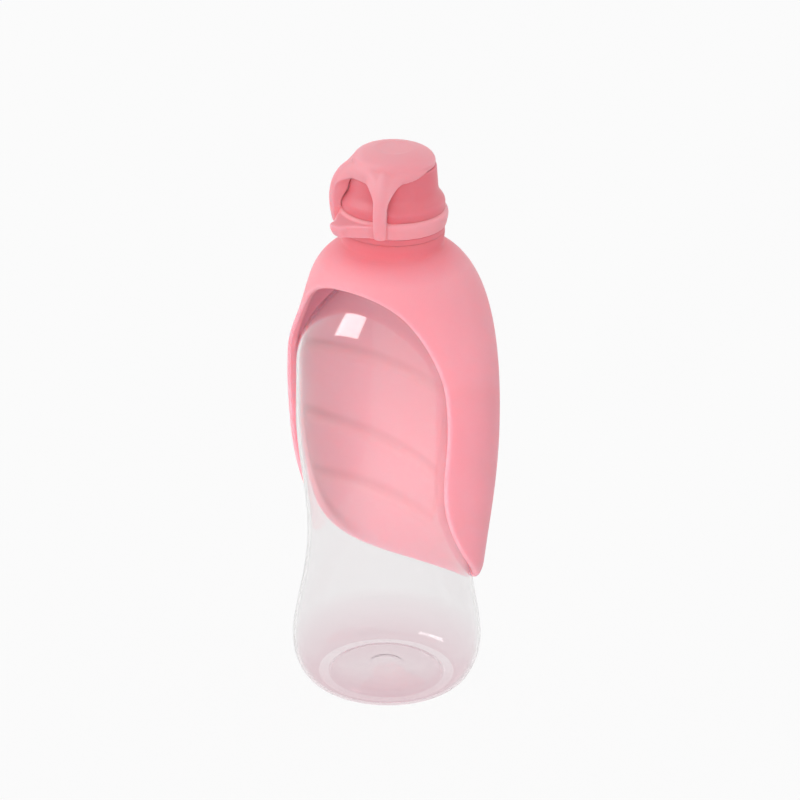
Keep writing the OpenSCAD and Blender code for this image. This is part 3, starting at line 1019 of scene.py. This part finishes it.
# %% Cover hood
STRAP_TURN = 37.0
STRAP_W = 4.5
STRAP_SPREAD = 7.0
STRAP_ROUND = 1.1
ARC_R = 20.0
STRAP_Z = 192.45
WINDOW_TOP_Z = 212.2
WINDOW_RISE = 6.0
WINDOW_POWER = 2.8
SWEEP_W = 8.3
SWEEP_H = 10.0
RIM_LOW_Z = 213.3
RIM_HIGH_Z = 215.9
HOOD_END = 128.0
HOOD_STEP = 0.4
HOOD_ROWS = 60
HOOD_TOP_Z = 218.8

strap_line = bezier([(22.8, STRAP_Z), (25.9, 203.0), (24.6, 213.6), (15.6, 217.5)], 80)
strap_line = np.concatenate([strap_line, [(13.2, HOOD_TOP_Z)]])
skirt_line = np.array([
    (17.3, 204.0),
    (17.3, 213.4),
    (17.3, 215.0),
    (16.9, 216.2),
    (15.9, 217.6),
    (13.2, HOOD_TOP_Z),
])
tower_line = np.array([
    (19.4, STRAP_Z),
    (19.4, 198.2),
    (19.95, 198.4),
    (19.95, 201.4),
    (19.2, 203.6),
    (17.6, 205.6),
    (17.1, 206.9),
    (16.3, 213.2),
    (16.3, 215.6),
    (15.2, 216.0),
    (12.8, 217.0),
    (12.2, HOOD_TOP_Z),
])


def hood_low(turn):
    """Lowest height of the hood at an angle from the tongue, in degrees."""
    across = math.radians(abs(turn)) * ARC_R
    strap = math.radians(STRAP_TURN) * ARC_R
    rim = RIM_LOW_Z + (RIM_HIGH_Z - RIM_LOW_Z) * float(fade(abs(turn), 60, 112))
    inner, outer = strap - STRAP_W / 2, strap + STRAP_W / 2
    if across < inner:
        return WINDOW_TOP_Z - WINDOW_RISE * (1 - math.sqrt(1 - (across / inner) ** WINDOW_POWER))
    if across < outer:
        return STRAP_Z
    left = max(0.0, outer + SWEEP_W - across) / SWEEP_W
    return rim - SWEEP_H * (1 - math.sqrt(max(0.0, 1 - left**2.2)))


def hood_sections():
    sections = []
    turns = np.arange(-HOOD_END, HOOD_END + HOOD_STEP, HOOD_STEP)
    lows = np.array([hood_low(turn) for turn in turns])
    for turn, low in zip(turns, lows):
        away = abs(math.radians(abs(turn) - STRAP_TURN) * ARC_R)
        stand = 1 - float(fade(away, STRAP_W / 2 - 0.4, STRAP_W / 2 + STRAP_SPREAD))
        tuck = float(fade(abs(turn), 62, 116))
        heights = np.linspace(low, HOOD_TOP_Z, HOOD_ROWS)
        plain = np.interp(heights, skirt_line[:, 1], skirt_line[:, 0]) - 1.2 * tuck * (heights < 217.6)
        bowed = np.interp(heights, strap_line[:, 1], strap_line[:, 0])
        crown = STRAP_ROUND * min(1.0, away / (STRAP_W / 2)) ** 2
        outer = plain + (bowed - crown - plain) * stand
        inner = np.interp(heights, tower_line[:, 1], tower_line[:, 0]) - 1.0 * tuck
        outer = np.maximum(outer, inner + 0.15)
        angle = math.radians(COVER_TURN + turn)
        radius = np.concatenate([outer, inner[::-1]])
        height = np.concatenate([heights, heights[::-1]])
        sections.append(np.stack([radius * math.sin(angle), -radius * math.cos(angle), height], 1))
    return sections


def closed_loft(name, sections, material):
    """A skin over rings of points, closed at both ends."""
    sections = np.array(sections)
    count, size = sections.shape[:2]
    faces = [
        (i * size + j, i * size + (j + 1) % size, (i + 1) * size + (j + 1) % size, (i + 1) * size + j)
        for i in range(count - 1)
        for j in range(size)
    ]
    faces.append(tuple(range(size))[::-1])
    faces.append(tuple(range((count - 1) * size, count * size)))
    return outward(plain_object(name, sections.reshape(-1, 3), faces, material))


hood = closed_loft("hood", hood_sections(), cover_silicone)
print("hood:", len(hood.data.polygons), "faces")

# %% Cover tongue
TONGUE_Z = 192.45
TONGUE_H = 5.0
TONGUE_W = 10.8
TONGUE_ROOT_Y = 18.0
NOSE_Y = 25.95
NOSE_R = 3.8
UNDERCUT = 1.5
TONGUE_STEPS = 96


def tongue_reach(direction):
    """Distance from the middle of the nose to the tongue's outline, in a direction."""
    across, ahead = abs(direction[0]), direction[1]
    if ahead <= 0:
        return NOSE_R
    root = NOSE_Y - TONGUE_ROOT_Y
    square = np.array([root, NOSE_R - TONGUE_W])
    reach = root / ahead
    facing = square @ (across, ahead)
    if facing > 0:
        reach = min(reach, square[0] * NOSE_R / facing)
    return reach


def tongue_mesh():
    low, high = TONGUE_Z, TONGUE_Z + TONGUE_H
    points, faces = [], []
    for k in range(TONGUE_STEPS):
        angle = 2 * math.pi * k / TONGUE_STEPS
        direction = np.array([math.cos(angle), math.sin(angle)])
        reach = tongue_reach(direction)
        cut = UNDERCUT * max(0.0, -direction[1])
        section = rounded([
            (0, low, 0),
            (reach - 0.4 - cut, low, 1.0),
            (reach, high - 1.9, 1.8),
            (reach, high, 1.5),
            (0, high, 0),
        ])
        size = len(section)
        for distance, height in section:
            points.append((direction[0] * distance, -NOSE_Y + direction[1] * distance, height))
        for j in range(size - 1):
            after = (k + 1) % TONGUE_STEPS
            faces.append((k * size + j, k * size + j + 1, after * size + j + 1, after * size + j))
    turn = math.radians(COVER_TURN)
    points = np.array(points)
    x = points[:, 0] * math.cos(turn) - points[:, 1] * math.sin(turn)
    y = points[:, 0] * math.sin(turn) + points[:, 1] * math.cos(turn)
    return np.stack([x, y, points[:, 2]], 1), faces


tongue = outward(plain_object("tongue", *tongue_mesh(), cover_silicone))
print("tongue:", len(tongue.data.polygons), "faces")

# %% Cover joined
VOXEL = 0.34
SMOOTH_FACTOR = 0.5
SMOOTH_TIMES = 8


def joined(name, pieces):
    work = bmesh.new()
    for piece in pieces:
        work.from_mesh(piece.data)
        bpy.data.objects.remove(piece)
    mesh = bpy.data.meshes.new(name)
    bmesh.ops.remove_doubles(work, verts=work.verts, dist=1e-7)
    work.to_mesh(mesh)
    work.free()
    mesh.materials.append(cover_silicone)
    made = bpy.data.objects.new(name, mesh)
    bpy.context.scene.collection.objects.link(made)
    return made


def with_modifiers(made, *settings):
    """Applies modifiers in order and keeps the result as the object's own mesh."""
    for kind, values in settings:
        modifier = made.modifiers.new(kind, kind)
        for key, value in values.items():
            setattr(modifier, key, value)
    ready = made.evaluated_get(bpy.context.evaluated_depsgraph_get())
    mesh = bpy.data.meshes.new_from_object(ready)
    made.modifiers.clear()
    made.data = mesh
    return outward(made)


cover = with_modifiers(
    joined("cover", [ring, lid, hood, tongue]),
    ("REMESH", {"mode": "VOXEL", "voxel_size": VOXEL * MM}),
    ("SMOOTH", {"factor": SMOOTH_FACTOR, "iterations": SMOOTH_TIMES}),
)
if not cover.data.materials:
    cover.data.materials.append(cover_silicone)
print("cover:", len(cover.data.polygons), "faces")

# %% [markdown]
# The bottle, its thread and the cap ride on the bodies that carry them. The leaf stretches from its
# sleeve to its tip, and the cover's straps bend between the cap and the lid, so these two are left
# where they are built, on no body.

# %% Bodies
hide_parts("bottle")
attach(bottle, "bottle")
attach(thread, "bottle")

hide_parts("leaf_collar", "leaf_bowl", "leaf_tip")
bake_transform(leaf)

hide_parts("cap_body")
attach(cap, "cap")

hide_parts("cover_ring", "left_strap", "right_strap", "cover_lid", "lid_plug")
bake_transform(cover)

for name, material in (
    ("neck_seal", seal_silicone),
    ("spout_valve", seal_silicone),
    ("valve_retainer", cap_plastic),
):
    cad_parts[name].data.materials.clear()
    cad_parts[name].data.materials.append(material)
print("bodies set")

# %% [markdown]
# A product picture on white: the floor and the world show a near-white to the camera and in the
# gloss, and light the object at a plain level. The floor keeps a part that takes light, so that
# the bottle's shadow stays.

# %% Stage
BACKDROP = 0.972
WORLD_LIGHT = 0.87


def seen(tree):
    path = add(tree, "ShaderNodeLightPath").outputs
    first = arithmetic(tree, "MAXIMUM", path["Is Camera Ray"], path["Is Glossy Ray"])
    return arithmetic(tree, "MAXIMUM", first, path["Is Transmission Ray"])


def floor_material():
    material = bpy.data.materials.new("floor")
    material.use_nodes = True
    tree = material.node_tree
    tree.nodes.clear()
    white = (BACKDROP, BACKDROP, BACKDROP, 1)
    lit = add(tree, "ShaderNodeBsdfDiffuse", {"Color": (0.85, 0.85, 0.85, 1)})
    glow = add(tree, "ShaderNodeEmission", {"Color": white, "Strength": 1.0})
    shown = add(tree, "ShaderNodeMixShader", {0: 0.95, 1: lit.outputs[0], 2: glow.outputs[0]})
    mixed = add(tree, "ShaderNodeMixShader", {0: seen(tree), 1: lit.outputs[0], 2: shown.outputs[0]})
    add(tree, "ShaderNodeOutputMaterial", {"Surface": mixed.outputs[0]})
    return material


FLOOR = 3000.0
floor = plain_object(
    "floor",
    [(-FLOOR, -FLOOR, 0), (FLOOR, -FLOOR, 0), (FLOOR, FLOOR, 0), (-FLOOR, FLOOR, 0)],
    [(0, 1, 2, 3)],
    floor_material(),
)

world = bpy.data.worlds.new("world")
bpy.context.scene.world = world
world.use_nodes = True
world_tree = world.node_tree
world_tree.nodes.clear()
strength = add(
    world_tree,
    "ShaderNodeMapRange",
    {"Value": seen(world_tree), "To Min": WORLD_LIGHT, "To Max": BACKDROP},
)
background = add(
    world_tree,
    "ShaderNodeBackground",
    {"Color": (1, 1, 1, 1), "Strength": strength.outputs[0]},
)
add(world_tree, "ShaderNodeOutputWorld", {"Surface": background.outputs[0]})
print("stage set")

# %% [markdown]
# Soft light from all round does most of the work. One narrow lamp shines through the clear bottle
# on the inside of the leaf, and one soft box is there for its gleam on the bottle's shoulder.

# %% Lights
def lamp_at(data, place, aim, roll=0.0):
    lamp = bpy.data.objects.new(data.name, data)
    bpy.context.scene.collection.objects.link(lamp)
    facing = (Vector(aim) - Vector(place)).to_track_quat("-Z", "Y").to_matrix().to_4x4()
    lamp.matrix_world = (
        Matrix.Translation(place) @ facing @ Matrix.Rotation(math.radians(roll), 4, "Z")
    )
    lamp.visible_camera = False
    return lamp


window_data = bpy.data.lights.new("window", "AREA")
window_data.shape = "RECTANGLE"
window_data.size, window_data.size_y = 0.7, 0.3
window_data.energy = 5.0
window = lamp_at(window_data, (-0.64, -0.6, 0.96), (0, -0.02, 0.163), roll=33)
window.visible_diffuse = False

inner_data = bpy.data.lights.new("inside of the leaf", "SPOT")
inner_data.spot_size = math.radians(4.8)
inner_data.spot_blend = 0.6
inner_data.shadow_soft_size = 0.08
inner_data.energy = 145.0
inner_data.color = (1.0, 0.88, 0.88)
fills = [lamp_at(inner_data, (0.6, -1.9, 0.35), (0, 0, 0.085))]

FILLS = [("camera fill", 6.0, (1.23, -1.58, 0.9)), ("left fill", 14.0, (-1.9, -0.3, 0.15))]
for name, power, place in FILLS:
    fill_data = bpy.data.lights.new(name, "AREA")
    fill_data.size = 1.4
    fill_data.energy = power
    fills.append(lamp_at(fill_data, place, (0, 0, 0.11)))
for lamp in fills:
    lamp.visible_glossy = False
    lamp.visible_transmission = False
print("lights:", [one.name for one in bpy.data.lights])

# %% Finish
bpy.context.scene.view_settings.view_transform = "Standard"
